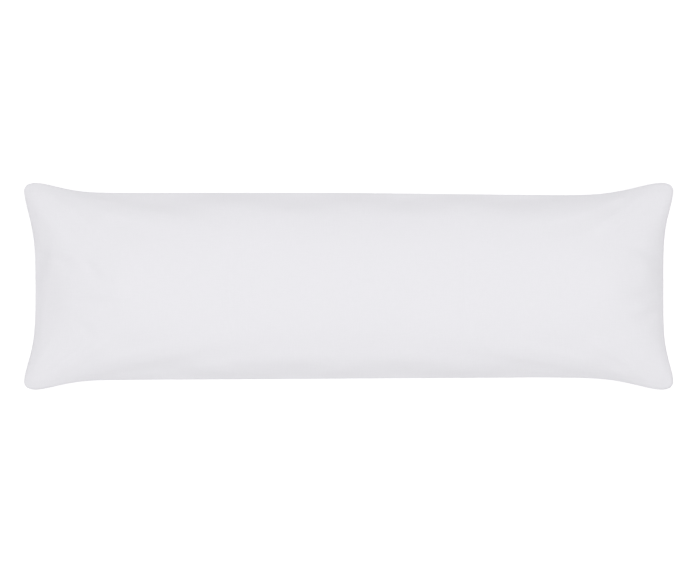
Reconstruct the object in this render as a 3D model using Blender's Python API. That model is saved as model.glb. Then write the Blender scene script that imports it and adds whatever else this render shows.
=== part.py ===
"""A long body pillow: two cloth panels sewn right round, turned and filled.

Units are metres and +Z is up. The pillow lies on its back with its length along X. The origin is
the middle of the box it fills, on the surface it rests on. "Far" is the long side at +Y, "near"
the long side at -Y.
"""

from collections import namedtuple
from math import cos, exp, pi, radians, sin, sqrt

import bmesh
import bpy

# Size over the ears, the four corners of the sewn cover
EAR_LENGTH = 1.500
EAR_WIDTH = 0.478
EAR_ROUND_ALONG = 0.026
EAR_ROUND_ACROSS = 0.017

# Thickness: the seam runs round between the crown above it and the belly below it
SEAM_HEIGHT = 0.070
EAR_DROOP = 0.010
CROWN_HEIGHT = 0.084
BELLY_DEPTH = 0.085
FLOOR_BLEND = 0.006

# How the panels fill towards the long sides: a high flatness keeps the crown level until close
# to the seam, and a low fullness power makes the last rise from the seam steeper
SIDE_FLATNESS = 3.0
SIDE_FULLNESS = 0.95

# How sharply the ears flare out and droop: a low power sets in early
FLARE_POWER = 1.7
DROOP_POWER = 4

# The ears stay slack: how far the filling falls short in them, how much steeper they still rise
# at their very edge, and how far in from the corner both reach
EAR_SLACK = 0.33
EAR_STEEPNESS = 0.48
SLACK_ALONG = 0.190
SLACK_ACROSS = 0.115

# The stitched edge: its thickness, and the soft ridge of the turned-in seam allowance
EDGE_HALF_THICKNESS = 0.0015
ALLOWANCE = 0.0105
RIDGE_HEIGHT = 0.0004
GROOVE_DEPTH = 0.0006
RIDGE_SPREAD = 0.0035
SINK_ONSET = 0.012

# Mesh rows: their distances from the seam, then an even spacing to the middle
SEAM_ROWS = (0.0, 0.005, ALLOWANCE, 0.017, 0.025, 0.036, 0.050)
SPACING_ALONG = 0.0260
SPACING_ACROSS = 0.0175

# Each end: how far its middle lies from the origin, how the panels fill towards it, and its far
# and near ears. Each ear: how far its flare spreads along the long side and the end
Ear = namedtuple("Ear", "flare_along flare_across")
End = namedtuple("End", "middle flatness fullness far near")
LEFT = End(
    middle=0.7226,
    flatness=8.2,
    fullness=0.80,
    far=Ear(flare_along=0.076, flare_across=0.080),
    near=Ear(flare_along=0.076, flare_across=0.072),
)
RIGHT = End(
    middle=0.7259,
    flatness=9.3,
    fullness=0.61,
    far=Ear(flare_along=0.096, flare_across=0.070),
    near=Ear(flare_along=0.091, flare_across=0.066),
)

# Half widths of the straight stretch between the ears, which narrows a little to the right
Width = namedtuple("Width", "along far near")
WIDTHS = (
    Width(along=-0.560, far=0.2152, near=0.2163),
    Width(along=-0.250, far=0.2155, near=0.2146),
    Width(along=0.005, far=0.2153, near=0.2130),
    Width(along=0.200, far=0.2131, near=0.2120),
    Width(along=0.420, far=0.2107, near=0.2105),
    Width(along=0.560, far=0.2093, near=0.2108),
)

# Soft troughs in a panel: where each lies, its half length and half width, the turn of its
# length from +X in degrees, and its depth, which is negative for a ridge
Sink = namedtuple("Sink", "along across length width turn depth")
SHOULDERS = (
    Sink(along=0.000, across=0.171, length=0.900, width=0.025, turn=0, depth=-0.0030),
    Sink(along=0.000, across=-0.171, length=0.900, width=0.025, turn=0, depth=-0.0030),
)
SIDE_SLACKS = (
    # along the far side
    Sink(along=-0.565, across=0.204, length=0.060, width=0.013, turn=-6, depth=-0.0022),
    Sink(along=-0.405, across=0.201, length=0.056, width=0.017, turn=0, depth=0.0060),
    Sink(along=-0.265, across=0.197, length=0.048, width=0.017, turn=2, depth=-0.0042),
    Sink(along=-0.120, across=0.200, length=0.056, width=0.017, turn=1, depth=0.0060),
    Sink(along=0.008, across=0.196, length=0.045, width=0.017, turn=0, depth=-0.0042),
    Sink(along=0.140, across=0.199, length=0.050, width=0.017, turn=-1, depth=0.0057),
    Sink(along=0.275, across=0.195, length=0.050, width=0.017, turn=0, depth=-0.0045),
    Sink(along=0.402, across=0.197, length=0.052, width=0.017, turn=0, depth=0.0057),
    Sink(along=0.592, across=0.206, length=0.046, width=0.013, turn=10, depth=-0.0020),
    # along the near side
    Sink(along=-0.560, across=-0.206, length=0.050, width=0.013, turn=6, depth=-0.0018),
    Sink(along=-0.505, across=-0.200, length=0.034, width=0.017, turn=4, depth=0.0016),
    Sink(along=-0.400, across=-0.200, length=0.040, width=0.018, turn=0, depth=0.0058),
    Sink(along=-0.298, across=-0.195, length=0.036, width=0.017, turn=-8, depth=-0.0042),
    Sink(along=-0.130, across=-0.200, length=0.044, width=0.018, turn=0, depth=0.0056),
    Sink(along=-0.015, across=-0.195, length=0.040, width=0.017, turn=6, depth=-0.0042),
    Sink(along=0.120, across=-0.200, length=0.040, width=0.018, turn=0, depth=0.0052),
    Sink(along=0.248, across=-0.194, length=0.050, width=0.017, turn=-8, depth=-0.0048),
    Sink(along=0.396, across=-0.199, length=0.042, width=0.018, turn=0, depth=0.0056),
    Sink(along=0.500, across=-0.195, length=0.040, width=0.017, turn=-6, depth=-0.0020),
)
WAISTS = (
    Sink(along=-0.266, across=0.000, length=0.024, width=0.170, turn=0, depth=0.0016),
    Sink(along=0.004, across=0.000, length=0.024, width=0.170, turn=0, depth=0.0014),
    Sink(along=0.272, across=0.000, length=0.024, width=0.170, turn=0, depth=0.0016),
)
FULL_ENDS = (
    Sink(along=-0.530, across=0.002, length=0.050, width=0.060, turn=0, depth=-0.0085),
    Sink(along=0.600, across=0.000, length=0.070, width=0.062, turn=0, depth=-0.0085),
    Sink(along=0.686, across=0.060, length=0.060, width=0.024, turn=90, depth=-0.0030),
)
LEFT_END_CREASES = (
    Sink(along=-0.718, across=0.060, length=0.045, width=0.020, turn=90, depth=0.0070),
    Sink(along=-0.705, across=-0.035, length=0.058, width=0.055, turn=90, depth=0.0070),
    Sink(along=-0.703, across=0.072, length=0.026, width=0.014, turn=84, depth=0.0060),
    Sink(along=-0.680, across=0.062, length=0.040, width=0.011, turn=-10, depth=0.0045),
    Sink(along=-0.706, across=0.034, length=0.020, width=0.014, turn=0, depth=0.0030),
    Sink(along=-0.642, across=0.052, length=0.036, width=0.014, turn=-22, depth=0.0040),
    Sink(along=-0.583, across=0.034, length=0.034, width=0.013, turn=-46, depth=0.0050),
    Sink(along=-0.592, across=-0.037, length=0.050, width=0.011, turn=2, depth=0.0040),
    Sink(along=-0.600, across=-0.102, length=0.030, width=0.012, turn=-44, depth=0.0022),
    Sink(along=-0.545, across=0.010, length=0.018, width=0.050, turn=0, depth=0.0020),
)
RIGHT_END_PUCKERS = (
    Sink(along=0.720, across=0.000, length=0.140, width=0.028, turn=90, depth=0.0075),
    Sink(along=0.690, across=0.078, length=0.036, width=0.015, turn=-12, depth=0.0066),
    Sink(along=0.680, across=0.041, length=0.026, width=0.012, turn=4, depth=-0.0016),
    Sink(along=0.682, across=-0.024, length=0.040, width=0.015, turn=6, depth=0.0068),
    Sink(along=0.680, across=-0.045, length=0.024, width=0.011, turn=8, depth=-0.0022),
    Sink(along=0.690, across=-0.070, length=0.036, width=0.016, turn=14, depth=0.0062),
)
EAR_FOLDS = (
    Sink(along=-0.684, across=0.184, length=0.046, width=0.014, turn=-42, depth=0.0020),
    Sink(along=-0.634, across=0.186, length=0.036, width=0.016, turn=-14, depth=-0.0028),
    Sink(along=-0.566, across=0.156, length=0.034, width=0.028, turn=-12, depth=-0.0042),
    Sink(along=-0.664, across=-0.180, length=0.054, width=0.014, turn=36, depth=0.0022),
    Sink(along=-0.640, across=-0.185, length=0.034, width=0.016, turn=20, depth=-0.0030),
    Sink(along=-0.566, across=-0.152, length=0.036, width=0.027, turn=16, depth=-0.0040),
    Sink(along=-0.596, across=-0.075, length=0.034, width=0.016, turn=20, depth=-0.0016),
    Sink(along=0.684, across=0.180, length=0.046, width=0.015, turn=44, depth=0.0024),
    Sink(along=0.630, across=0.203, length=0.034, width=0.016, turn=16, depth=-0.0050),
    Sink(along=0.587, across=0.155, length=0.038, width=0.028, turn=20, depth=-0.0044),
    Sink(along=0.668, across=-0.178, length=0.052, width=0.014, turn=-40, depth=0.0022),
    Sink(along=0.632, across=-0.200, length=0.034, width=0.014, turn=-16, depth=-0.0030),
    Sink(along=0.574, across=-0.151, length=0.036, width=0.028, turn=-14, depth=-0.0040),
)
CROWN_SINKS = (
    SHOULDERS + SIDE_SLACKS + WAISTS + FULL_ENDS + LEFT_END_CREASES + RIGHT_END_PUCKERS + EAR_FOLDS
)
BELLY_SINKS = (
    Sink(along=-0.655, across=0.160, length=0.070, width=0.020, turn=-42, depth=0.0045),
    Sink(along=-0.665, across=-0.150, length=0.064, width=0.020, turn=40, depth=0.0040),
    Sink(along=0.655, across=0.156, length=0.066, width=0.020, turn=40, depth=0.0042),
    Sink(along=0.660, across=-0.162, length=0.070, width=0.020, turn=-44, depth=0.0045),
    Sink(along=-0.690, across=0.030, length=0.042, width=0.017, turn=6, depth=0.0040),
    Sink(along=-0.688, across=-0.052, length=0.038, width=0.016, turn=-8, depth=0.0034),
    Sink(along=0.690, across=0.050, length=0.040, width=0.016, turn=-6, depth=0.0036),
    Sink(along=0.692, across=-0.028, length=0.044, width=0.017, turn=5, depth=0.0042),
    Sink(along=-0.330, across=0.186, length=0.075, width=0.022, turn=2, depth=0.0030),
    Sink(along=0.080, across=0.186, length=0.080, width=0.022, turn=-2, depth=0.0032),
    Sink(along=0.390, across=-0.184, length=0.070, width=0.022, turn=2, depth=0.0030),
    Sink(along=-0.150, across=-0.187, length=0.080, width=0.022, turn=-2, depth=0.0032),
)

# Slow waves that keep the filling from looking machined: lengths, phase and height
Wave = namedtuple("Wave", "along across phase height")
FILLING_WAVES = (
    Wave(along=0.61, across=0.47, phase=0.7, height=0.0011),
    Wave(along=0.37, across=-0.52, phase=2.1, height=0.0008),
    Wave(along=-0.23, across=0.31, phase=4.0, height=0.0005),
)

# The cloth: white cotton percale
CLOTH_COLOR = (0.82, 0.82, 0.84, 1.0)
CLOTH_ROUGHNESS = 0.85


def clear_scene():
    """Remove whatever the open file holds."""
    for thing in list(bpy.data.objects):
        bpy.data.objects.remove(thing, do_unlink=True)


def end_of(x):
    """The end that a place along the pillow belongs to."""
    return LEFT if x < 0 else RIGHT


def ear_of(x, y):
    """The ear nearest to a place."""
    return end_of(x).far if y > 0 else end_of(x).near


def flare(distance, spread):
    """How far the cloth still reaches out towards the ear, at this distance from it: 1 to 0."""
    return exp(-((max(distance, 0.0) / spread) ** FLARE_POWER))


def straight_half_width(x, y):
    """Half width of the far or near side, between the stations of WIDTHS."""
    widths = [row.far if y > 0 else row.near for row in WIDTHS]
    stations = [row.along for row in WIDTHS]
    if x <= stations[0]:
        return widths[0]
    for left, right, low, high in zip(stations, stations[1:], widths, widths[1:]):
        if x <= right:
            return low + (high - low) * (x - left) / (right - left)
    return widths[-1]


def half_width(x, y):
    """From the middle line to the seam of the long side, ears included."""
    straight = straight_half_width(x, y)
    crest = EAR_LENGTH / 2 - EAR_ROUND_ALONG
    return straight + (EAR_WIDTH / 2 - straight) * flare(crest - abs(x), ear_of(x, y).flare_along)


def half_length(x, y):
    """From the middle to the seam of the end, ears included."""
    middle = end_of(x).middle
    crest = EAR_WIDTH / 2 - EAR_ROUND_ACROSS
    return middle + (EAR_LENGTH / 2 - middle) * flare(crest - abs(y), ear_of(x, y).flare_across)


def round_ear(x, y):
    """Move a point of the flat rectangle's corner into the ear's round corner."""
    past_x = (abs(x) - EAR_LENGTH / 2) / EAR_ROUND_ALONG + 1
    past_y = (abs(y) - EAR_WIDTH / 2) / EAR_ROUND_ACROSS + 1
    if past_x <= 0 or past_y <= 0:
        return x, y
    back_x = (past_x - past_x * sqrt(1 - past_y**2 / 2)) * EAR_ROUND_ALONG
    back_y = (past_y - past_y * sqrt(1 - past_x**2 / 2)) * EAR_ROUND_ACROSS
    return (x - back_x if x > 0 else x + back_x), (y - back_y if y > 0 else y + back_y)


def plan(x, y):
    """Where a point of the flat panel lies on the filled pillow, seen from above."""
    x, y = round_ear(x, y)
    return x * half_length(x, y) / (EAR_LENGTH / 2), y * half_width(x, y) / (EAR_WIDTH / 2)


def lens(part_way, flatness, power):
    """Share of the full height of a filled panel, from its middle, 0, to its seam, 1."""
    return max(0.0, 1 - part_way**flatness) ** power


def end_distance(x):
    """Distance of a point of the flat panel from the seam of the nearest end."""
    return EAR_LENGTH / 2 - abs(x)


def side_distance(y):
    """Distance of a point of the flat panel from the seam of the nearest long side."""
    return EAR_WIDTH / 2 - abs(y)


def fullness(x, y):
    """Share of the full height that the filling reaches at a point of the flat panel."""
    end = end_of(x)
    to_end = lens(abs(x) / (EAR_LENGTH / 2), end.flatness, end.fullness)
    to_side = lens(abs(y) / (EAR_WIDTH / 2), SIDE_FLATNESS, SIDE_FULLNESS)
    in_ear = exp(-((end_distance(x) / SLACK_ALONG) ** 2) - (side_distance(y) / SLACK_ACROSS) ** 2)
    return (to_end * to_side) ** (1 - EAR_STEEPNESS * in_ear) * (1 - EAR_SLACK * in_ear)


def seam_distance(x, y):
    """Distance of a point of the flat panel from the nearest seam."""
    return max(0.0, min(end_distance(x), side_distance(y)))


def edge_relief(distance):
    """The soft ridge over the seam allowance, and the groove inside it."""
    ridge = RIDGE_HEIGHT * exp(-(((distance - ALLOWANCE / 2) / RIDGE_SPREAD) ** 2))
    groove = GROOVE_DEPTH * exp(-(((distance - ALLOWANCE) / RIDGE_SPREAD) ** 2))
    return ridge - groove


def sink_depth(sinks, x, y):
    """Depth of a panel's troughs at a place seen from above."""
    depth = 0.0
    for sink in sinks:
        turn = radians(sink.turn)
        away_x = x - sink.along
        away_y = y - sink.across
        lengthwise = away_x * cos(turn) + away_y * sin(turn)
        sidewise = away_y * cos(turn) - away_x * sin(turn)
        depth += sink.depth * exp(-((lengthwise / sink.length) ** 2) - (sidewise / sink.width) ** 2)
    return depth


def filling_wave(x, y):
    """Slow rise and fall of the filling."""
    return sum(
        wave.height * sin(2 * pi * (x / wave.along + y / wave.across) + wave.phase)
        for wave in FILLING_WAVES
    )


def panel_rise(x, y, full_height, sinks):
    """How far a panel stands off the seam's level at a point of the flat panel."""
    distance = seam_distance(x, y)
    onset = 1 - exp(-distance / SINK_ONSET)
    relief = filling_wave(x, y) - sink_depth(sinks, *plan(x, y))
    rise = full_height * fullness(x, y) + edge_relief(distance) + relief * onset
    return max(rise, 0.0) + EDGE_HALF_THICKNESS


def seam_level(x, y):
    """Height of the seam's level, which droops towards the ears."""
    towards_ear = (abs(x) / (EAR_LENGTH / 2) * abs(y) / (EAR_WIDTH / 2)) ** DROOP_POWER
    return SEAM_HEIGHT - EAR_DROOP * towards_ear


def rest_on_floor(height):
    """Flatten what would reach below the surface, with a soft turn at the flat patch's rim."""
    if height >= FLOOR_BLEND:
        return height
    if height <= -FLOOR_BLEND:
        return 0.0
    return (height + FLOOR_BLEND) ** 2 / (4 * FLOOR_BLEND)


def crown_point(x, y):
    """A point of the upper panel."""
    return (*plan(x, y), seam_level(x, y) + panel_rise(x, y, CROWN_HEIGHT, CROWN_SINKS))


def belly_point(x, y):
    """A point of the lower panel."""
    drop = panel_rise(x, y, BELLY_DEPTH, BELLY_SINKS)
    return (*plan(x, y), rest_on_floor(seam_level(x, y) - drop))


def stations(half_span, spacing):
    """Places of the mesh lines across a span: close together at its seams, even between."""
    near_seam = [half_span - row for row in SEAM_ROWS]
    inner = near_seam[-1]
    steps = round(inner / spacing)
    between = [inner * step / steps for step in range(steps)]
    upper = between + near_seam[::-1]
    return [-place for place in upper[:0:-1]] + upper


def make_panel(mesh, point, along, across, facing_up):
    """Add one panel's grid of faces and return its rows of vertices."""
    rows = [[mesh.verts.new(point(x, y)) for y in across] for x in along]
    for row, next_row in zip(rows, rows[1:]):
        for step in range(len(across) - 1):
            corners = [row[step], next_row[step], next_row[step + 1], row[step + 1]]
            mesh.faces.new(corners if facing_up else corners[::-1])
    return rows


def rim(rows):
    """The vertices round a panel's edge, in order."""
    last = len(rows[0]) - 1
    near_side = [row[0] for row in rows]
    right_end = rows[-1][1:last]
    far_side = [row[last] for row in reversed(rows)]
    left_end = rows[0][last - 1:0:-1]
    return near_side + right_end + far_side + left_end


def sew(mesh, lower, upper):
    """Close the pillow with the narrow band between the two panels' edges."""
    count = len(upper)
    for step in range(count):
        after = (step + 1) % count
        mesh.faces.new((lower[step], lower[after], upper[after], upper[step]))


def cloth_material():
    """Matt white cotton."""
    material = bpy.data.materials.new("white_cotton_percale")
    material.use_nodes = True
    shader = material.node_tree.nodes["Principled BSDF"]
    shader.inputs["Base Color"].default_value = CLOTH_COLOR
    shader.inputs["Roughness"].default_value = CLOTH_ROUGHNESS
    shader.inputs["Metallic"].default_value = 0.0
    return material


def make_pillow():
    """The filled pillow as one closed solid."""
    along = stations(EAR_LENGTH / 2, SPACING_ALONG)
    across = stations(EAR_WIDTH / 2, SPACING_ACROSS)
    mesh = bmesh.new()
    crown = make_panel(mesh, crown_point, along, across, facing_up=True)
    belly = make_panel(mesh, belly_point, along, across, facing_up=False)
    sew(mesh, rim(belly), rim(crown))
    data = bpy.data.meshes.new("pillow")
    mesh.to_mesh(data)
    mesh.free()
    data.shade_smooth()
    data.materials.append(cloth_material())
    pillow = bpy.data.objects.new("pillow", data)
    bpy.context.scene.collection.objects.link(pillow)


clear_scene()
make_pillow()
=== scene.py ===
"""Looks of the long body pillow: white percale panels, sewn right round, turned and filled.

Units are metres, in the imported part's own frame: the pillow lies on its back on z = 0, with its
length along X. "Far" is the long side at +Y, "near" the long side at -Y. The places of a panel
are those of the flat cloth, from its middle; plan() says where they come to lie once it is filled.
"""

from collections import namedtuple
from math import pi, radians

import bpy
import numpy as np
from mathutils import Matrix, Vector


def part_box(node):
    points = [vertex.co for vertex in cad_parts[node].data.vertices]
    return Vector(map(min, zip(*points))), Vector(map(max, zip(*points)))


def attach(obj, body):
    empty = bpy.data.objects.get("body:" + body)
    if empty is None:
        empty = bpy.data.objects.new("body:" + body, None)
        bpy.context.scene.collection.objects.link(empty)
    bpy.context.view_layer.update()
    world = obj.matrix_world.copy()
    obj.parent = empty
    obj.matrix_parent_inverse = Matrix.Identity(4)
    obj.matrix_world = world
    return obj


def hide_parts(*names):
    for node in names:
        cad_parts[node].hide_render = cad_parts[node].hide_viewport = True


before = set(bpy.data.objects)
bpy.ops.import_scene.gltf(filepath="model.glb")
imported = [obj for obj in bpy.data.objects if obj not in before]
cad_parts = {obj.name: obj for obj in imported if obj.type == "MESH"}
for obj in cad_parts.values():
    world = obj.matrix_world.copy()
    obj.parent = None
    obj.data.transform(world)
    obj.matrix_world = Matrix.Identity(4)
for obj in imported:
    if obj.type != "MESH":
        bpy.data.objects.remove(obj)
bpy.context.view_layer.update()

# ------------------------------------------------------------------------------------ sizes
# The outline over the ears, and how far back from their corners they turn round
LOWEST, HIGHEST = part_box("pillow")
EAR_LENGTH = HIGHEST.x - LOWEST.x
EAR_WIDTH = HIGHEST.y - LOWEST.y
EAR_ROUND_ALONG = 0.026
EAR_ROUND_ACROSS = 0.017

# The seam's height, which droops in the ears, and how far the filling lifts the upper panel above
# it and pushes the lower one below it, down to the patch that the pillow rests on
SEAM_HEIGHT = 0.070
EAR_DROOP = 0.010
DROOP_POWER = 4
CROWN_HEIGHT = 0.084
BELLY_DEPTH = 0.085
FLOOR_BLEND = 0.006

# How flat the middle is across the pillow, how steeply its sides fall, and how the outline's
# draw-in runs out towards an ear
SIDE_FLATNESS = 3.0
SIDE_FULLNESS = 0.95
FLARE_POWER = 1.7

# The ears stay slack: how far the filling falls short in them, how much steeper they still rise
# at their very edge, and how far in from the corner both reach
EAR_SLACK = 0.33
EAR_STEEPNESS = 0.48
SLACK_ALONG = 0.190
SLACK_ACROSS = 0.115

# The turned-in seam allowance: a soft ridge over it and a groove inside it, lower on the long
# sides, where the filling pulls the panels tight, and at full height again near the ears
ALLOWANCE = 0.0105
RIDGE_HEIGHT = 0.0011
GROOVE_DEPTH = 0.0014
RIDGE_SPREAD = 0.0035
LONG_SIDE_RELIEF = 0.30
NEAR_EAR = 0.12

# How far in from the seam the troughs, waves and folds below reach their full depth
SINK_ONSET = 0.012

# The sewn edge in section. From the stitches, sunk between the two panels, the cloth rolls over
# a lip and runs inwards: how far along the cloth, how far in from the outline and how far up.
# The stitches have no lip in their own line, which only draws in a little past each corner
Roll = namedtuple("Roll", "cloth inwards up")
EDGE_ROLL = (
    Roll(cloth=0.0, inwards=0.0020, up=0.0),
    Roll(cloth=0.0025, inwards=-0.0015, up=0.0011),
    Roll(cloth=0.0055, inwards=0.0030, up=0.0018),
    Roll(cloth=ALLOWANCE, inwards=ALLOWANCE, up=0.0015),
)
CORNER_SLOPE = 0.2

# Mesh lines: their distances from the seam along the cloth, then an even spacing to the middle
SEAM_ROWS = tuple(roll.cloth for roll in EDGE_ROLL) + (0.017, 0.0245, 0.033)
SPACING = 0.0085

# Each end: how far its middle lies from the origin, how the panels fill towards it, and its far
# and near ears. Each ear: how far its flare spreads along the long side and the end
Ear = namedtuple("Ear", "flare_along flare_across")
End = namedtuple("End", "middle flatness fullness far near")
LEFT = End(
    middle=0.7226,
    flatness=8.2,
    fullness=0.80,
    far=Ear(flare_along=0.076, flare_across=0.080),
    near=Ear(flare_along=0.076, flare_across=0.072),
)
RIGHT = End(
    middle=0.7259,
    flatness=9.3,
    fullness=0.61,
    far=Ear(flare_along=0.096, flare_across=0.070),
    near=Ear(flare_along=0.091, flare_across=0.066),
)

# Half widths of the straight stretch between the ears, which narrows a little to the right
Width = namedtuple("Width", "along far near")
WIDTHS = (
    Width(along=-0.560, far=0.2152, near=0.2163),
    Width(along=-0.250, far=0.2155, near=0.2146),
    Width(along=0.005, far=0.2153, near=0.2130),
    Width(along=0.200, far=0.2131, near=0.2120),
    Width(along=0.420, far=0.2107, near=0.2105),
    Width(along=0.560, far=0.2093, near=0.2108),
)

# Soft troughs in a panel: where each lies, its half length and half width, the turn of its
# length from +X in degrees, and its depth, which is negative for a ridge
Sink = namedtuple("Sink", "along across length width turn depth")
SHOULDERS = (
    Sink(along=0.000, across=0.171, length=0.900, width=0.025, turn=0, depth=-0.0030),
    Sink(along=0.000, across=-0.171, length=0.900, width=0.025, turn=0, depth=-0.0030),
)
SIDE_SLACKS = (
    # along the far side
    Sink(along=-0.565, across=0.204, length=0.060, width=0.013, turn=-6, depth=-0.0022),
    Sink(along=-0.405, across=0.201, length=0.056, width=0.017, turn=0, depth=0.0060),
    Sink(along=-0.265, across=0.197, length=0.048, width=0.017, turn=2, depth=-0.0042),
    Sink(along=-0.120, across=0.200, length=0.056, width=0.017, turn=1, depth=0.0060),
    Sink(along=0.008, across=0.196, length=0.045, width=0.017, turn=0, depth=-0.0042),
    Sink(along=0.140, across=0.199, length=0.050, width=0.017, turn=-1, depth=0.0057),
    Sink(along=0.275, across=0.195, length=0.050, width=0.017, turn=0, depth=-0.0045),
    Sink(along=0.402, across=0.197, length=0.052, width=0.017, turn=0, depth=0.0057),
    Sink(along=0.592, across=0.206, length=0.046, width=0.013, turn=10, depth=-0.0020),
    # along the near side
    Sink(along=-0.560, across=-0.206, length=0.050, width=0.013, turn=6, depth=-0.0018),
    Sink(along=-0.505, across=-0.200, length=0.034, width=0.017, turn=4, depth=0.0016),
    Sink(along=-0.400, across=-0.200, length=0.040, width=0.018, turn=0, depth=0.0058),
    Sink(along=-0.298, across=-0.195, length=0.036, width=0.017, turn=-8, depth=-0.0042),
    Sink(along=-0.130, across=-0.200, length=0.044, width=0.018, turn=0, depth=0.0056),
    Sink(along=-0.015, across=-0.195, length=0.040, width=0.017, turn=6, depth=-0.0042),
    Sink(along=0.120, across=-0.200, length=0.040, width=0.018, turn=0, depth=0.0052),
    Sink(along=0.248, across=-0.194, length=0.050, width=0.017, turn=-8, depth=-0.0048),
    Sink(along=0.396, across=-0.199, length=0.042, width=0.018, turn=0, depth=0.0056),
    Sink(along=0.500, across=-0.195, length=0.040, width=0.017, turn=-6, depth=-0.0020),
)
WAISTS = (
    Sink(along=-0.268, across=0.000, length=0.011, width=0.110, turn=0, depth=0.0030),
    Sink(along=0.004, across=0.000, length=0.011, width=0.100, turn=0, depth=0.0022),
    Sink(along=0.270, across=0.000, length=0.011, width=0.110, turn=0, depth=0.0030),
)
FULL_ENDS = (
    Sink(along=-0.530, across=0.002, length=0.050, width=0.060, turn=0, depth=-0.0085),
    Sink(along=0.600, across=0.000, length=0.070, width=0.062, turn=0, depth=-0.0085),
    Sink(along=0.686, across=0.060, length=0.060, width=0.024, turn=90, depth=-0.0030),
)
LEFT_END_CREASES = (
    Sink(along=-0.718, across=0.060, length=0.045, width=0.020, turn=90, depth=0.0070),
    Sink(along=-0.705, across=-0.035, length=0.058, width=0.055, turn=90, depth=0.0070),
    Sink(along=-0.703, across=0.072, length=0.026, width=0.014, turn=84, depth=0.0060),
    Sink(along=-0.680, across=0.062, length=0.040, width=0.011, turn=-10, depth=0.0045),
    Sink(along=-0.706, across=0.034, length=0.020, width=0.014, turn=0, depth=0.0030),
    Sink(along=-0.642, across=0.052, length=0.036, width=0.014, turn=-22, depth=0.0040),
    Sink(along=-0.583, across=0.034, length=0.034, width=0.013, turn=-46, depth=0.0050),
    Sink(along=-0.592, across=-0.037, length=0.050, width=0.011, turn=2, depth=0.0040),
    Sink(along=-0.600, across=-0.102, length=0.030, width=0.012, turn=-44, depth=0.0022),
    Sink(along=-0.545, across=0.010, length=0.018, width=0.050, turn=0, depth=0.0020),
)
RIGHT_END_PUCKERS = (
    Sink(along=0.720, across=0.000, length=0.140, width=0.028, turn=90, depth=0.0075),
    Sink(along=0.690, across=0.078, length=0.036, width=0.015, turn=-12, depth=0.0066),
    Sink(along=0.680, across=0.041, length=0.026, width=0.012, turn=4, depth=-0.0016),
    Sink(along=0.682, across=-0.024, length=0.040, width=0.015, turn=6, depth=0.0068),
    Sink(along=0.680, across=-0.045, length=0.024, width=0.011, turn=8, depth=-0.0022),
    Sink(along=0.690, across=-0.070, length=0.036, width=0.016, turn=14, depth=0.0062),
)
EAR_FOLDS = (
    Sink(along=-0.684, across=0.184, length=0.046, width=0.014, turn=-42, depth=0.0020),
    Sink(along=-0.634, across=0.186, length=0.036, width=0.016, turn=-14, depth=-0.0028),
    Sink(along=-0.566, across=0.156, length=0.034, width=0.028, turn=-12, depth=-0.0042),
    Sink(along=-0.664, across=-0.180, length=0.054, width=0.014, turn=36, depth=0.0022),
    Sink(along=-0.640, across=-0.185, length=0.034, width=0.016, turn=20, depth=-0.0030),
    Sink(along=-0.566, across=-0.152, length=0.036, width=0.027, turn=16, depth=-0.0040),
    Sink(along=-0.596, across=-0.075, length=0.034, width=0.016, turn=20, depth=-0.0016),
    Sink(along=0.684, across=0.180, length=0.046, width=0.015, turn=44, depth=0.0024),
    Sink(along=0.630, across=0.203, length=0.034, width=0.016, turn=16, depth=-0.0050),
    Sink(along=0.587, across=0.155, length=0.038, width=0.028, turn=20, depth=-0.0044),
    Sink(along=0.668, across=-0.178, length=0.052, width=0.014, turn=-40, depth=0.0022),
    Sink(along=0.632, across=-0.200, length=0.034, width=0.014, turn=-16, depth=-0.0030),
    Sink(along=0.574, across=-0.151, length=0.036, width=0.028, turn=-14, depth=-0.0040),
)
CROWN_SINKS = (
    SHOULDERS
    + SIDE_SLACKS
    + WAISTS
    + FULL_ENDS
    + LEFT_END_CREASES
    + RIGHT_END_PUCKERS
    + EAR_FOLDS
)
BELLY_SINKS = (
    Sink(along=-0.655, across=0.160, length=0.070, width=0.020, turn=-42, depth=0.0045),
    Sink(along=-0.665, across=-0.150, length=0.064, width=0.020, turn=40, depth=0.0040),
    Sink(along=0.655, across=0.156, length=0.066, width=0.020, turn=40, depth=0.0042),
    Sink(along=0.660, across=-0.162, length=0.070, width=0.020, turn=-44, depth=0.0045),
    Sink(along=-0.690, across=0.030, length=0.042, width=0.017, turn=6, depth=0.0040),
    Sink(along=-0.688, across=-0.052, length=0.038, width=0.016, turn=-8, depth=0.0034),
    Sink(along=0.690, across=0.050, length=0.040, width=0.016, turn=-6, depth=0.0036),
    Sink(along=0.692, across=-0.028, length=0.044, width=0.017, turn=5, depth=0.0042),
    Sink(along=-0.330, across=0.186, length=0.075, width=0.022, turn=2, depth=0.0030),
    Sink(along=0.080, across=0.186, length=0.080, width=0.022, turn=-2, depth=0.0032),
    Sink(along=0.390, across=-0.184, length=0.070, width=0.022, turn=2, depth=0.0030),
    Sink(along=-0.150, across=-0.187, length=0.080, width=0.022, turn=-2, depth=0.0032),
)

# Slow waves that keep the filling from looking machined: lengths, phase and height
Wave = namedtuple("Wave", "along across phase height")
FILLING_WAVES = (
    Wave(along=0.61, across=0.47, phase=0.7, height=0.0011),
    Wave(along=0.37, across=-0.52, phase=2.1, height=0.0008),
    Wave(along=-0.23, across=0.31, phase=4.0, height=0.0005),
)

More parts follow.
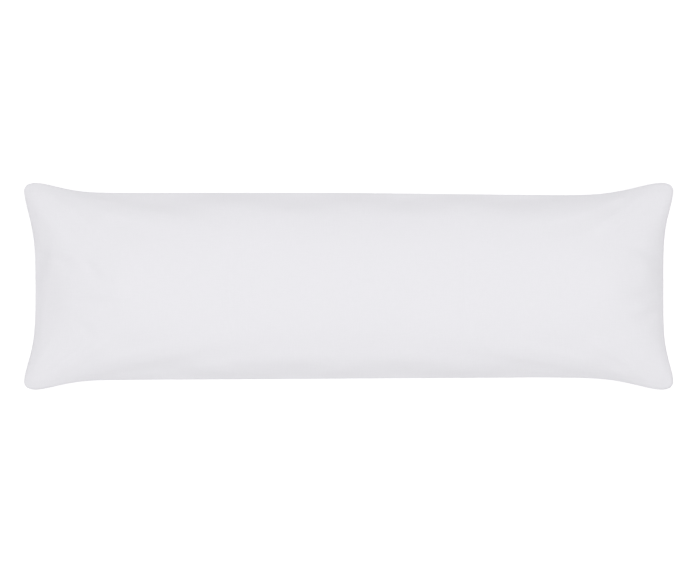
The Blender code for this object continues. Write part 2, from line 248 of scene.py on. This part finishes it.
# Small gathers that run in from the seam: how high they stand and how far in they reach, on the
# long sides and at the ends. They swell and fade along it, and begin elsewhere on each side.
# Ripples of three lengths, which never line up, space them unevenly
Gather = namedtuple("Gather", "height reach")
SIDE_GATHERS = Gather(height=0.0005, reach=0.022)
END_GATHERS = Gather(height=0.0010, reach=0.028)
GATHER_ONSET = 0.004
SWELL_LENGTH = 0.19
SWELL_SHARE = 0.4
GATHER_SHIFT = 1.7
Ripple = namedtuple("Ripple", "length phase share")
RIPPLES = (
    Ripple(length=0.061, phase=0.4, share=0.5),
    Ripple(length=0.037, phase=2.6, share=0.5),
    Ripple(length=0.0233, phase=4.9, share=0.3),
)

# The seam's thread bars, seen only between the two lips: how far apart they are, how tall, how
# far in from the outline they stand, and how much they lean, each a little otherwise than the next
STITCH_PITCH = 0.003
STITCH_LENGTH = 0.0016
STITCH_INSET = 0.0009
STITCH_LEAN = 0.22
LEAN_STEP = 2.4
THREAD_RADIUS = 0.00018
THREAD_SIDES = 6
UP = np.array([0.0, 0.0, 1.0])

# The cloth: yarn 0.3 mm apart in the real percale, which no view here could show, so it is drawn
# four times as coarse. The yarn's thick and thin places are as long as real ones. The noises of
# warp and weft together run from about THIN_YARN to THICK_YARN
THREAD_SPACING = 0.0012
THREAD_RISE = 0.00003
SLUB_LENGTH = 0.030
SLUB_WIDTH = 0.0024
SLUB_RISE = 0.00005
CRUMPLE_SIZE = 0.045
CRUMPLE_RISE = 0.0008
COTTON_THIN = "#EAE9ED"
COTTON_THICK = "#ECEBEF"
THIN_YARN = 0.6
THICK_YARN = 1.4

# The thread's twist. Blender's wave texture turns this often in a metre at a scale of 1
TWIST_PITCH = 0.0004
WAVE_TURNS = 20 / (2 * pi)

# The cloth's simulation: the flat panels are drawn over the filled form in DRAW_FRAMES, and the
# cloth that the ears have to spare falls into folds. The panels are cut a little longer on the
# far side and wider at the left end, so that no two ears fold alike. They start as FLAT_SHARE of
# the flat cut and the rest of the filled form. Only what is shorter than FOLD_REACH counts as a
# fold, and the upper panel's folds are as faint as in the photo
LONGER_FAR = 0.012
WIDER_LEFT = 0.016
FLAT_SHARE = 0.85
DRAW_FRAMES = 15
SETTLE_FRAMES = 26
FILL_PRESSURE = 60.0
ON_FLOOR = 1e-6
FOLD_REACH = 0.040
CROWN_FOLD_LIMIT = 0.0012
BELLY_FOLD_LIMIT = 0.0045

# The picture: the camera looks straight down from the middle of the photo, where one pixel of
# its 700 covers this much at the seam's height
PHOTO_WIDTH_PX = 700
PIXEL = 0.002309
CAMERA_AT = (0.0030, -0.0075, 6.0)
SENSOR = 36.0

# The studio: a lit table just under the pillow, a softbox overhead and an even room
TABLE_HALF = 15.0
TABLE_TOP = -0.0005
TABLE_GLOW = 0.52
SOFTBOX_AT = (-0.05, 0.0, 9.0)
SOFTBOX_LENGTH = 8.0
SOFTBOX_WIDTH = 6.0
SOFTBOX_WATTS = 560.0
ROOM_LIGHT = 0.41


# ------------------------------------------------------------------------- the filled shape
def of_end(x, value):
    """What value() says of the end on whose half each place lies."""
    return np.where(x < 0, value(LEFT), value(RIGHT))


def of_ear(x, y, value):
    """What value() says of the ear in whose quarter each place lies."""
    far = of_end(x, lambda end: value(end.far))
    near = of_end(x, lambda end: value(end.near))
    return np.where(y > 0, far, near)


def flare(distance, spread):
    """How far the cloth still reaches out towards the ear, at this distance from it: 1 to 0."""
    return np.exp(-((np.maximum(distance, 0.0) / spread) ** FLARE_POWER))


def straight_half_width(x, y):
    """Half width of the far or near side, between the stations of WIDTHS."""
    along = [row.along for row in WIDTHS]
    far = np.interp(x, along, [row.far for row in WIDTHS])
    near = np.interp(x, along, [row.near for row in WIDTHS])
    return np.where(y > 0, far, near)


def half_width(x, y):
    """From the middle line to the seam of the long side, ears included."""
    straight = straight_half_width(x, y)
    crest = EAR_LENGTH / 2 - EAR_ROUND_ALONG
    reach = flare(crest - np.abs(x), of_ear(x, y, lambda ear: ear.flare_along))
    return straight + (EAR_WIDTH / 2 - straight) * reach


def half_length(x, y):
    """From the middle to the seam of the end, ears included."""
    middle = of_end(x, lambda end: end.middle)
    crest = EAR_WIDTH / 2 - EAR_ROUND_ACROSS
    reach = flare(crest - np.abs(y), of_ear(x, y, lambda ear: ear.flare_across))
    return middle + (EAR_LENGTH / 2 - middle) * reach


def round_ear(x, y):
    """Move the places of the flat rectangle's corners into the ears' round corners."""
    past_x = np.clip((np.abs(x) - EAR_LENGTH / 2) / EAR_ROUND_ALONG + 1, 0, 1)
    past_y = np.clip((np.abs(y) - EAR_WIDTH / 2) / EAR_ROUND_ACROSS + 1, 0, 1)
    back_x = (past_x - past_x * np.sqrt(1 - past_y**2 / 2)) * EAR_ROUND_ALONG
    back_y = (past_y - past_y * np.sqrt(1 - past_x**2 / 2)) * EAR_ROUND_ACROSS
    return x - np.sign(x) * back_x, y - np.sign(y) * back_y


def plan(x, y):
    """Where a place of the flat panel lies on the filled pillow, seen from above."""
    x, y = round_ear(x, y)
    return x * half_length(x, y) / (EAR_LENGTH / 2), y * half_width(x, y) / (EAR_WIDTH / 2)


def lens(part_way, flatness, power):
    """Share of the full height of a filled panel, from its middle, 0, to its seam, 1."""
    return np.maximum(0.0, 1 - part_way**flatness) ** power


def end_distance(x):
    """Distance of a place of the flat panel from the seam of the nearest end."""
    return EAR_LENGTH / 2 - np.abs(x)


def side_distance(y):
    """Distance of a place of the flat panel from the seam of the nearest long side."""
    return EAR_WIDTH / 2 - np.abs(y)


def fullness(x, y):
    """Share of the full height that the filling reaches at a place of the flat panel."""
    flatness = of_end(x, lambda end: end.flatness)
    power = of_end(x, lambda end: end.fullness)
    to_end = lens(np.abs(x) / (EAR_LENGTH / 2), flatness, power)
    to_side = lens(np.abs(y) / (EAR_WIDTH / 2), SIDE_FLATNESS, SIDE_FULLNESS)
    from_corner = (end_distance(x) / SLACK_ALONG) ** 2 + (side_distance(y) / SLACK_ACROSS) ** 2
    in_ear = np.exp(-from_corner)
    return (to_end * to_side) ** (1 - EAR_STEEPNESS * in_ear) * (1 - EAR_SLACK * in_ear)


def seam_distance(x, y):
    """Distance of a place of the flat panel from the nearest seam."""
    return np.maximum(0.0, np.minimum(end_distance(x), side_distance(y)))


def seam_level(x, y):
    """Height of the seam's level, which droops towards the ears."""
    towards_ear = (np.abs(x) / (EAR_LENGTH / 2) * np.abs(y) / (EAR_WIDTH / 2)) ** DROOP_POWER
    return SEAM_HEIGHT - EAR_DROOP * towards_ear


def rest_on_floor(height):
    """Flatten what would reach below the surface, with a soft turn at the flat patch's rim."""
    turn = (height + FLOOR_BLEND) ** 2 / (4 * FLOOR_BLEND)
    return np.where(height >= FLOOR_BLEND, height, np.where(height <= -FLOOR_BLEND, 0.0, turn))


def rolled_in(place, half_span, other_seam):
    """Where the cloth's places lie once its edge is rolled over the lip. The stitches of the
    other seam, where its distance other_seam is 0, run on to the corner without a lip."""
    away = half_span - np.abs(place)
    cloth = [roll.cloth for roll in EDGE_ROLL]
    inwards = np.interp(away, cloth, [roll.inwards for roll in EDGE_ROLL])
    stitched = np.maximum(inwards, EDGE_ROLL[0].inwards + CORNER_SLOPE * away)
    inwards = np.where(other_seam > 0, inwards, stitched)
    return np.where(away >= ALLOWANCE, place, np.sign(place) * (half_span - inwards))


def lip(x, y):
    """How far the cloth stands off the seam's level where it rolls over the lip."""
    cloth = [roll.cloth for roll in EDGE_ROLL]
    return np.interp(seam_distance(x, y), cloth, [roll.up for roll in EDGE_ROLL])


def panel(x, y, full_height, relief=0.0):
    """Points of a panel, with full_height below zero for the lower one. Its edge, where the
    stitches are, lies on the seam's level."""
    x_rolled = rolled_in(x, EAR_LENGTH / 2, side_distance(y))
    y_rolled = rolled_in(y, EAR_WIDTH / 2, end_distance(x))
    filled = np.maximum(abs(full_height) * fullness(x_rolled, y_rolled) + relief, 0.0)
    rise = np.where(seam_distance(x, y) > 0, filled + lip(x, y), 0.0)
    height = seam_level(x, y) + np.sign(full_height) * rise
    return np.stack([*plan(x_rolled, y_rolled), rest_on_floor(height)], axis=-1)


# -------------------------------------------------------------------------- listed creases
def edge_relief(x, y):
    """The soft ridge over the seam allowance, and the groove inside it."""
    distance = seam_distance(x, y)
    ridge = RIDGE_HEIGHT * np.exp(-(((distance - ALLOWANCE / 2) / RIDGE_SPREAD) ** 2))
    groove = GROOVE_DEPTH * np.exp(-(((distance - ALLOWANCE) / RIDGE_SPREAD) ** 2))
    near_ear = flare(EAR_LENGTH / 2 - EAR_ROUND_ALONG - np.abs(x), NEAR_EAR)
    return (ridge - groove) * (LONG_SIDE_RELIEF + (1 - LONG_SIDE_RELIEF) * near_ear)


def sink_depth(sinks, x, y):
    """Depth of a panel's troughs at a place seen from above."""
    depth = np.zeros_like(x)
    for sink in sinks:
        turn = radians(sink.turn)
        away_x = x - sink.along
        away_y = y - sink.across
        lengthwise = away_x * np.cos(turn) + away_y * np.sin(turn)
        sidewise = away_y * np.cos(turn) - away_x * np.sin(turn)
        from_middle = (lengthwise / sink.length) ** 2 + (sidewise / sink.width) ** 2
        depth += sink.depth * np.exp(-from_middle)
    return depth


def filling_wave(x, y):
    """Slow rise and fall of the filling."""
    return sum(
        wave.height * np.sin(2 * np.pi * (x / wave.along + y / wave.across) + wave.phase)
        for wave in FILLING_WAVES
    )


def ripple(place, shift):
    """Uneven up and down along a seam, between about -1 and 1."""
    return sum(
        row.share * np.sin(2 * np.pi * place / row.length + row.phase + shift) for row in RIPPLES
    )


def gathers(x, y):
    """Small gathers that run in from the seams, different on each of the four."""
    total = np.zeros_like(x)
    for along, distance, other, size in (
        (x, side_distance(y), y, SIDE_GATHERS),
        (y, end_distance(x), x, END_GATHERS),
    ):
        fade = np.exp(-((distance / size.reach) ** 2)) * (1 - np.exp(-distance / GATHER_ONSET))
        swell = np.sin(2 * np.pi * along / SWELL_LENGTH + np.sign(other))
        strength = 1 - SWELL_SHARE + SWELL_SHARE * swell
        total += size.height * fade * strength * ripple(along, GATHER_SHIFT * np.sign(other))
    return total


def relief(x, y, sinks):
    """Everything small that the filled panel has besides its fullness."""
    onset = 1 - np.exp(-seam_distance(x, y) / SINK_ONSET)
    soft = filling_wave(x, y) - sink_depth(sinks, *plan(x, y))
    return edge_relief(x, y) + soft * onset + gathers(x, y)


# --------------------------------------------------------------------------- cloth and mesh
def stations(half_span):
    """Places of the mesh lines across a span: close together at its seams, even between."""
    near_seam = [half_span - row for row in SEAM_ROWS]
    inner = near_seam[-1]
    steps = round(inner / SPACING)
    upper = [inner * step / steps for step in range(steps)] + near_seam[::-1]
    return np.array([-place for place in upper[:0:-1]] + upper)


def number_points(rows, columns):
    """Numbers of the points of the two panels, which share those of the seam."""
    crown = np.arange(rows * columns).reshape(rows, columns)
    belly = crown.copy()
    inner = np.arange((rows - 2) * (columns - 2)) + rows * columns
    belly[1:-1, 1:-1] = inner.reshape(rows - 2, columns - 2)
    return crown, belly


def quads(numbers):
    """A panel's faces, each with the numbers of its four points."""
    corners = (numbers[:-1, :-1], numbers[1:, :-1], numbers[1:, 1:], numbers[:-1, 1:])
    return np.stack(corners, axis=-1).reshape(-1, 4)


def gather_points(numbers, panels):
    """One list of points from the two panels; on the seam the upper one's count."""
    crown_numbers, belly_numbers = numbers
    crown, belly = panels
    points = np.empty((belly_numbers.max() + 1, crown.shape[-1]))
    points[belly_numbers] = belly
    points[crown_numbers] = crown
    return points


def sew_cover(name, numbers, panels):
    """The closed cover as one mesh object."""
    crown_numbers, belly_numbers = numbers
    faces = np.concatenate([quads(crown_numbers), quads(belly_numbers)[:, ::-1]])
    data = bpy.data.meshes.new(name)
    data.from_pydata(gather_points(numbers, panels).tolist(), [], faces.tolist())
    data.shade_smooth()
    cover = bpy.data.objects.new(name, data)
    bpy.context.scene.collection.objects.link(cover)
    return cover


def cloth_lengths(line):
    """How far along the cloth the points of a line across a panel lie, from its middle."""
    steps = np.linalg.norm(np.diff(line, axis=0), axis=1)
    lengths = np.concatenate([[0.0], np.cumsum(steps)])
    return lengths - lengths[-1] / 2


def flat_panel(filled, level):
    """A panel as it was cut: its middle lines pulled straight, lying at one level."""
    along = cloth_lengths(filled[:, filled.shape[1] // 2])
    across = cloth_lengths(filled[filled.shape[0] // 2])
    x, y = np.meshgrid(along, across, indexing="ij")
    longer = 1 + LONGER_FAR * y / EAR_WIDTH
    wider = 1 - WIDER_LEFT * x / EAR_LENGTH
    return np.stack([x * longer, y * wider, np.full_like(x, level)], axis=-1)


def smooth_over(values, cells):
    """Blur a panel's values along both of its directions, out to three times the spread."""
    reach = int(3 * cells)
    weights = np.exp(-((np.arange(-reach, reach + 1) / cells) ** 2) / 2)
    weights /= weights.sum()
    for axis in (0, 1):
        widths = [(reach, reach) if axis == way else (0, 0) for way in (0, 1)] + [(0, 0)]
        padded = np.pad(values, widths, mode="edge")
        values = np.apply_along_axis(lambda line: np.convolve(line, weights, "valid"), axis, padded)
    return values


def let_cloth_settle(cover, filled, held):
    """Draw the flat cover over the filled form with Blender's cloth, and return its points."""
    cover.shape_key_add(name="Basis")
    form = cover.shape_key_add(name="filled")
    form.data.foreach_set("co", filled.ravel())
    for frame_number, value in ((1, 0.0), (1 + DRAW_FRAMES, 1.0)):
        form.value = value
        form.keyframe_insert("value", frame=frame_number)
    group = cover.vertex_groups.new(name="held")
    group.add(held, 1.0, "REPLACE")
    cloth = cover.modifiers.new("cloth", "CLOTH")
    cloth.point_cache.frame_end = SETTLE_FRAMES
    cloth.collision_settings.use_collision = False
    settings = cloth.settings
    settings.quality = 6
    settings.mass = 0.2
    settings.air_damping = 2.0
    settings.tension_stiffness = 60.0
    settings.compression_stiffness = 30.0
    settings.shear_stiffness = 10.0
    settings.bending_stiffness = 1.0
    settings.tension_damping = 5.0
    settings.compression_damping = 5.0
    settings.shear_damping = 5.0
    settings.use_pressure = True
    settings.uniform_pressure_force = FILL_PRESSURE
    settings.effector_weights.gravity = 0.0
    settings.vertex_group_mass = "held"
    for frame_number in range(1, SETTLE_FRAMES + 1):
        bpy.context.scene.frame_set(frame_number)
    settled = cover.evaluated_get(bpy.context.evaluated_depsgraph_get())
    points = np.empty(len(settled.data.vertices) * 3)
    settled.data.vertices.foreach_get("co", points)
    bpy.context.scene.frame_set(1)
    return points.reshape(-1, 3)


def discard(cover):
    """Remove the cover that only served the simulation, with all that it carried."""
    data = cover.data
    action = data.shape_keys.animation_data.action
    bpy.data.objects.remove(cover)
    bpy.data.meshes.remove(data)
    bpy.data.actions.remove(action)


def simulated_folds(numbers, filled):
    """How far the folds of the cloth's spare width stand off the filled form, by panel. The seam
    and the patch on the floor are held."""
    form = gather_points(numbers, filled)
    flat = gather_points(numbers, [flat_panel(points, SEAM_HEIGHT) for points in filled])
    start = flat * FLAT_SHARE + form * (1 - FLAT_SHARE)
    seam = np.intersect1d(*numbers)
    held = np.union1d(seam, np.flatnonzero(form[:, 2] < ON_FLOOR))
    cover = sew_cover("cover_to_settle", numbers, filled)
    cover.data.vertices.foreach_set("co", start.ravel())
    settled = let_cloth_settle(cover, form, held.tolist())
    discard(cover)
    folds = []
    for panel_numbers, points, limit in zip(numbers, filled, (CROWN_FOLD_LIMIT, BELLY_FOLD_LIMIT)):
        moved = settled[panel_numbers] - points
        fold = moved - smooth_over(moved, FOLD_REACH / SPACING)
        size = np.linalg.norm(fold, axis=-1, keepdims=True)
        folds.append(fold * np.tanh(size / limit) / np.maximum(size / limit, 1e-9))
    return folds


def map_cloth(cover, numbers, x, y):
    """Give the cover its flat cloth's places in metres, so that the weave follows the threads."""
    flat = np.stack([x, y], axis=-1)
    places = gather_points(numbers, [flat, flat])
    corners = np.empty(len(cover.data.loops), dtype=np.int32)
    cover.data.loops.foreach_get("vertex_index", corners)
    layer = cover.data.uv_layers.new(name="cloth_metres")
    layer.uv.foreach_set("vector", places[corners].ravel())


def make_pillow():
    """The filled pillow: two panels, their folds and creases, one cover."""
    x, y = np.meshgrid(stations(EAR_LENGTH / 2), stations(EAR_WIDTH / 2), indexing="ij")
    numbers = number_points(*x.shape)
    plain = [panel(x, y, CROWN_HEIGHT), panel(x, y, -BELLY_DEPTH)]
    folds = simulated_folds(numbers, plain)
    inside = (1 - np.exp(-seam_distance(x, y) / SINK_ONSET))[..., None]
    panels = [
        panel(x, y, CROWN_HEIGHT, relief(x, y, CROWN_SINKS)) + folds[0] * inside,
        panel(x, y, -BELLY_DEPTH, relief(x, y, BELLY_SINKS)) + folds[1] * inside,
    ]
    for points in panels:
        points[..., 2] = np.maximum(points[..., 2], 0.0)
    pillow = sew_cover("pillow_cover", numbers, panels)
    map_cloth(pillow, numbers, x, y)
    rounding = pillow.modifiers.new("rounding", "SUBSURF")
    rounding.levels = 1
    rounding.render_levels = 1
    pillow.data.materials.append(white_cotton_percale())
    return pillow, rim(panels[0])


def rim(points):
    """The outermost points of a panel, once round."""
    sides = (points[:-1, 0], points[-1, :-1], points[:0:-1, -1], points[0, :0:-1])
    return np.concatenate(sides)


def spaced_round(ring, pitch):
    """Places a pitch apart along a closed line, and the line's direction at each."""
    closed = np.concatenate([ring, ring[:1]])
    steps = np.linalg.norm(np.diff(closed, axis=0), axis=1)
    lengths = np.concatenate([[0.0], np.cumsum(steps)])
    count = round(lengths[-1] / pitch)
    wanted = np.arange(count) * lengths[-1] / count
    places = np.stack([np.interp(wanted, lengths, closed[:, axis]) for axis in range(3)], axis=-1)
    ahead = np.roll(places, -1, axis=0) - np.roll(places, 1, axis=0)
    return places, ahead / np.linalg.norm(ahead, axis=1, keepdims=True)


def make_stitches(seam):
    """The seam's thread bars, each a short prism across the groove, in one mesh."""
    places, ahead = spaced_round(seam, STITCH_PITCH)
    outwards = np.cross(ahead, UP)
    places = places + outwards * (EDGE_ROLL[0].inwards - STITCH_INSET)
    lean = STITCH_LEAN * np.sin(np.arange(len(places)) * LEAN_STEP)
    half_bar = (UP + ahead * lean[:, None]) * STITCH_LENGTH / 2
    turns = 2 * pi * np.arange(THREAD_SIDES) / THREAD_SIDES
    section = ahead[:, None] * np.cos(turns)[:, None] + outwards[:, None] * np.sin(turns)[:, None]
    ends = [(places + way * half_bar)[:, None] + section * THREAD_RADIUS for way in (1, -1)]
    points = np.concatenate(ends, axis=1)
    faces = []
    for first in range(0, len(places) * 2 * THREAD_SIDES, 2 * THREAD_SIDES):
        top = [first + side for side in range(THREAD_SIDES)]
        foot = [corner + THREAD_SIDES for corner in top]
        around = zip(foot, top, top[1:] + top[:1], foot[1:] + foot[:1])
        faces += [top[::-1], foot] + [list(corners) for corners in around]
    data = bpy.data.meshes.new("seam_stitches")
    data.from_pydata(points.reshape(-1, 3).tolist(), [], faces)
    data.validate()
    stitches = bpy.data.objects.new("seam_stitches", data)
    bpy.context.scene.collection.objects.link(stitches)
    data.materials.append(white_polyester_thread())
    return stitches


# ------------------------------------------------------------------------------- materials
def linear(hex_color):
    """A shader colour from the sRGB value that the eye compares."""
    color = []
    for place in (1, 3, 5):
        part = int(hex_color[place:place + 2], 16) / 255
        color.append(part / 12.92 if part <= 0.04045 else ((part + 0.055) / 1.055) ** 2.4)
    return color + [1]


def add_node(tree, kind, inputs=(), **settings):
    """Add a node; inputs gives a socket its value, or the output that feeds it."""
    node = tree.nodes.new(kind)
    for name, value in settings.items():
        setattr(node, name, value)
    for socket, value in dict(inputs).items():
        if isinstance(value, bpy.types.NodeSocket):
            tree.links.new(value, node.inputs[socket])
        else:
            node.inputs[socket].default_value = value
    return node


def new_material(name):
    """A material with nodes, and its shader."""
    material = bpy.data.materials.new(name)
    material.use_nodes = True
    return material, material.node_tree.nodes["Principled BSDF"]


def interlacing(tree, cloth):
    """Plain weave: each thread goes over one and under the next. Height in metres."""
    turns = pi / THREAD_SPACING
    waves = []
    for thread_place in (cloth.outputs["X"], cloth.outputs["Y"]):
        turned = add_node(tree, "ShaderNodeMath", {0: thread_place, 1: turns}, operation="MULTIPLY")
        wave = add_node(tree, "ShaderNodeMath", {0: turned.outputs[0]}, operation="SINE")
        waves.append(wave.outputs[0])
    crossed = add_node(tree, "ShaderNodeMath", {0: waves[0], 1: waves[1]}, operation="MULTIPLY")
    height = add_node(
        tree, "ShaderNodeMath", {0: crossed.outputs[0], 1: THREAD_RISE}, operation="MULTIPLY"
    )
    return height.outputs[0]


def uneven_yarn(tree, place, along, across, name):
    """Thick and thin places of spun yarn: a noise drawn out along the thread, 0 to 1."""
    stretched = add_node(
        tree, "ShaderNodeMapping", {"Vector": place, "Scale": (1 / along, 1 / across, 1.0)}
    )
    noise = add_node(
        tree,
        "ShaderNodeTexNoise",
        {"Vector": stretched.outputs[0], "Scale": 1.0, "Detail": 1.0, "Roughness": 0.5},
        label=name,
    )
    return noise.outputs[0]


def white_cotton_percale():
    """Bleached cotton, plain-woven from fine even yarn and optically brightened: a matt, cool
    white with no shine of its own, a grain too fine to see from a step away, and the soft
    crumple of a cover that has been turned and filled."""
    material, shader = new_material("white_cotton_percale")
    tree = material.node_tree
    cloth = add_node(tree, "ShaderNodeUVMap", uv_map="cloth_metres").outputs["UV"]
    axes = add_node(tree, "ShaderNodeSeparateXYZ", {0: cloth})
    warp = uneven_yarn(tree, cloth, SLUB_LENGTH, SLUB_WIDTH, "warp yarn")
    weft = uneven_yarn(tree, cloth, SLUB_WIDTH, SLUB_LENGTH, "weft yarn")
    yarn = add_node(tree, "ShaderNodeMath", {0: warp, 1: weft}, operation="ADD").outputs[0]
    crumple = add_node(
        tree,
        "ShaderNodeTexNoise",
        {"Vector": cloth, "Scale": 1 / CRUMPLE_SIZE, "Detail": 3.0, "Roughness": 0.45},
        label="crumple",
    )
    crumpled = add_node(
        tree,
        "ShaderNodeBump",
        {"Height": crumple.outputs[0], "Distance": CRUMPLE_RISE, "Strength": 1.0},
    )
    uneven = add_node(
        tree,
        "ShaderNodeBump",
        {"Height": yarn, "Distance": SLUB_RISE, "Strength": 1.0, "Normal": crumpled.outputs[0]},
    )
    weave = interlacing(tree, axes)
    woven = add_node(
        tree,
        "ShaderNodeBump",
        {"Height": weave, "Distance": 1.0, "Strength": 1.0, "Normal": uneven.outputs[0]},
    )
    thickness = {"Value": yarn, "From Min": THIN_YARN, "From Max": THICK_YARN}
    shade = add_node(tree, "ShaderNodeMapRange", thickness | {"To Min": 0.0, "To Max": 1.0})
    matt = add_node(tree, "ShaderNodeMapRange", thickness | {"To Min": 0.92, "To Max": 0.84})
    color = add_node(
        tree,
        "ShaderNodeMix",
        {"Factor": shade.outputs[0], 6: linear(COTTON_THIN), 7: linear(COTTON_THICK)},
        data_type="RGBA",
    )
    tree.links.new(color.outputs[2], shader.inputs["Base Color"])
    tree.links.new(matt.outputs[0], shader.inputs["Roughness"])
    tree.links.new(woven.outputs[0], shader.inputs["Normal"])
    shader.inputs["IOR"].default_value = 1.53
    shader.inputs["Specular IOR Level"].default_value = 0.2
    shader.inputs["Sheen Weight"].default_value = 0.08
    shader.inputs["Sheen Roughness"].default_value = 0.5
    return material


def white_polyester_thread():
    """Spun polyester sewing thread: a shade brighter and smoother than the cloth, with the fine
    cross-lines of its twist."""
    material, shader = new_material("white_polyester_thread")
    tree = material.node_tree
    place = add_node(tree, "ShaderNodeTexCoord").outputs["Object"]
    twist = add_node(
        tree,
        "ShaderNodeTexWave",
        {"Vector": place, "Scale": 1 / (WAVE_TURNS * TWIST_PITCH), "Distortion": 0.5},
        bands_direction="DIAGONAL",
    ).outputs["Fac"]
    lines = add_node(
        tree, "ShaderNodeBump", {"Height": twist, "Distance": THREAD_RADIUS / 6, "Strength": 1.0}
    )
    dull = add_node(tree, "ShaderNodeMapRange", {"Value": twist, "To Min": 0.68, "To Max": 0.55})
    tree.links.new(lines.outputs[0], shader.inputs["Normal"])
    tree.links.new(dull.outputs[0], shader.inputs["Roughness"])
    shader.inputs["Base Color"].default_value = linear("#EFEEF2")
    shader.inputs["IOR"].default_value = 1.57
    return material


def opal_acrylic():
    """The lit table top that the pillow lies on: an even white glow with a faint gloss."""
    material, shader = new_material("opal_acrylic")
    shader.inputs["Base Color"].default_value = linear("#CBCBCB")
    shader.inputs["Roughness"].default_value = 0.9
    shader.inputs["Emission Color"].default_value = linear("#FFFFFF")
    shader.inputs["Emission Strength"].default_value = TABLE_GLOW
    return material


# ---------------------------------------------------------------------------------- studio
def make_light_table():
    """A wide pale surface under the pillow."""
    data = bpy.data.meshes.new("light_table")
    ways = ((-1, -1), (1, -1), (1, 1), (-1, 1))
    corners = [(x * TABLE_HALF, y * TABLE_HALF, TABLE_TOP) for x, y in ways]
    data.from_pydata(corners, [], [(0, 1, 2, 3)])
    table = bpy.data.objects.new("light_table", data)
    bpy.context.scene.collection.objects.link(table)
    table.data.materials.append(opal_acrylic())
    return table


def light_the_studio():
    """One wide softbox overhead and an even room light."""
    box = bpy.data.lights.new("overhead_softbox", "AREA")
    box.shape = "RECTANGLE"
    box.size = SOFTBOX_LENGTH
    box.size_y = SOFTBOX_WIDTH
    box.energy = SOFTBOX_WATTS
    softbox = bpy.data.objects.new("overhead_softbox", box)
    softbox.location = SOFTBOX_AT
    bpy.context.scene.collection.objects.link(softbox)
    world = bpy.data.worlds.new("room_light")
    world.use_nodes = True
    background = world.node_tree.nodes["Background"]
    background.inputs["Color"].default_value = (1.0, 1.0, 1.0, 1.0)
    background.inputs["Strength"].default_value = ROOM_LIGHT
    bpy.context.scene.world = world


def place_camera():
    """Straight above the pillow, face on, as the photo shows it."""
    data = bpy.data.cameras.new("camera")
    data.sensor_width = SENSOR
    data.lens = SENSOR * (CAMERA_AT[2] - SEAM_HEIGHT) / (PIXEL * PHOTO_WIDTH_PX)
    data.clip_end = 60.0
    camera = bpy.data.objects.new("camera", data)
    camera.location = CAMERA_AT
    bpy.context.scene.collection.objects.link(camera)
    bpy.context.scene.camera = camera
    bpy.context.scene.view_settings.view_transform = "Standard"


place_camera()
pillow, seam = make_pillow()
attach(pillow, "root")
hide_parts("pillow")

stitches = make_stitches(seam)
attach(stitches, "root")

table = make_light_table()
light_the_studio()
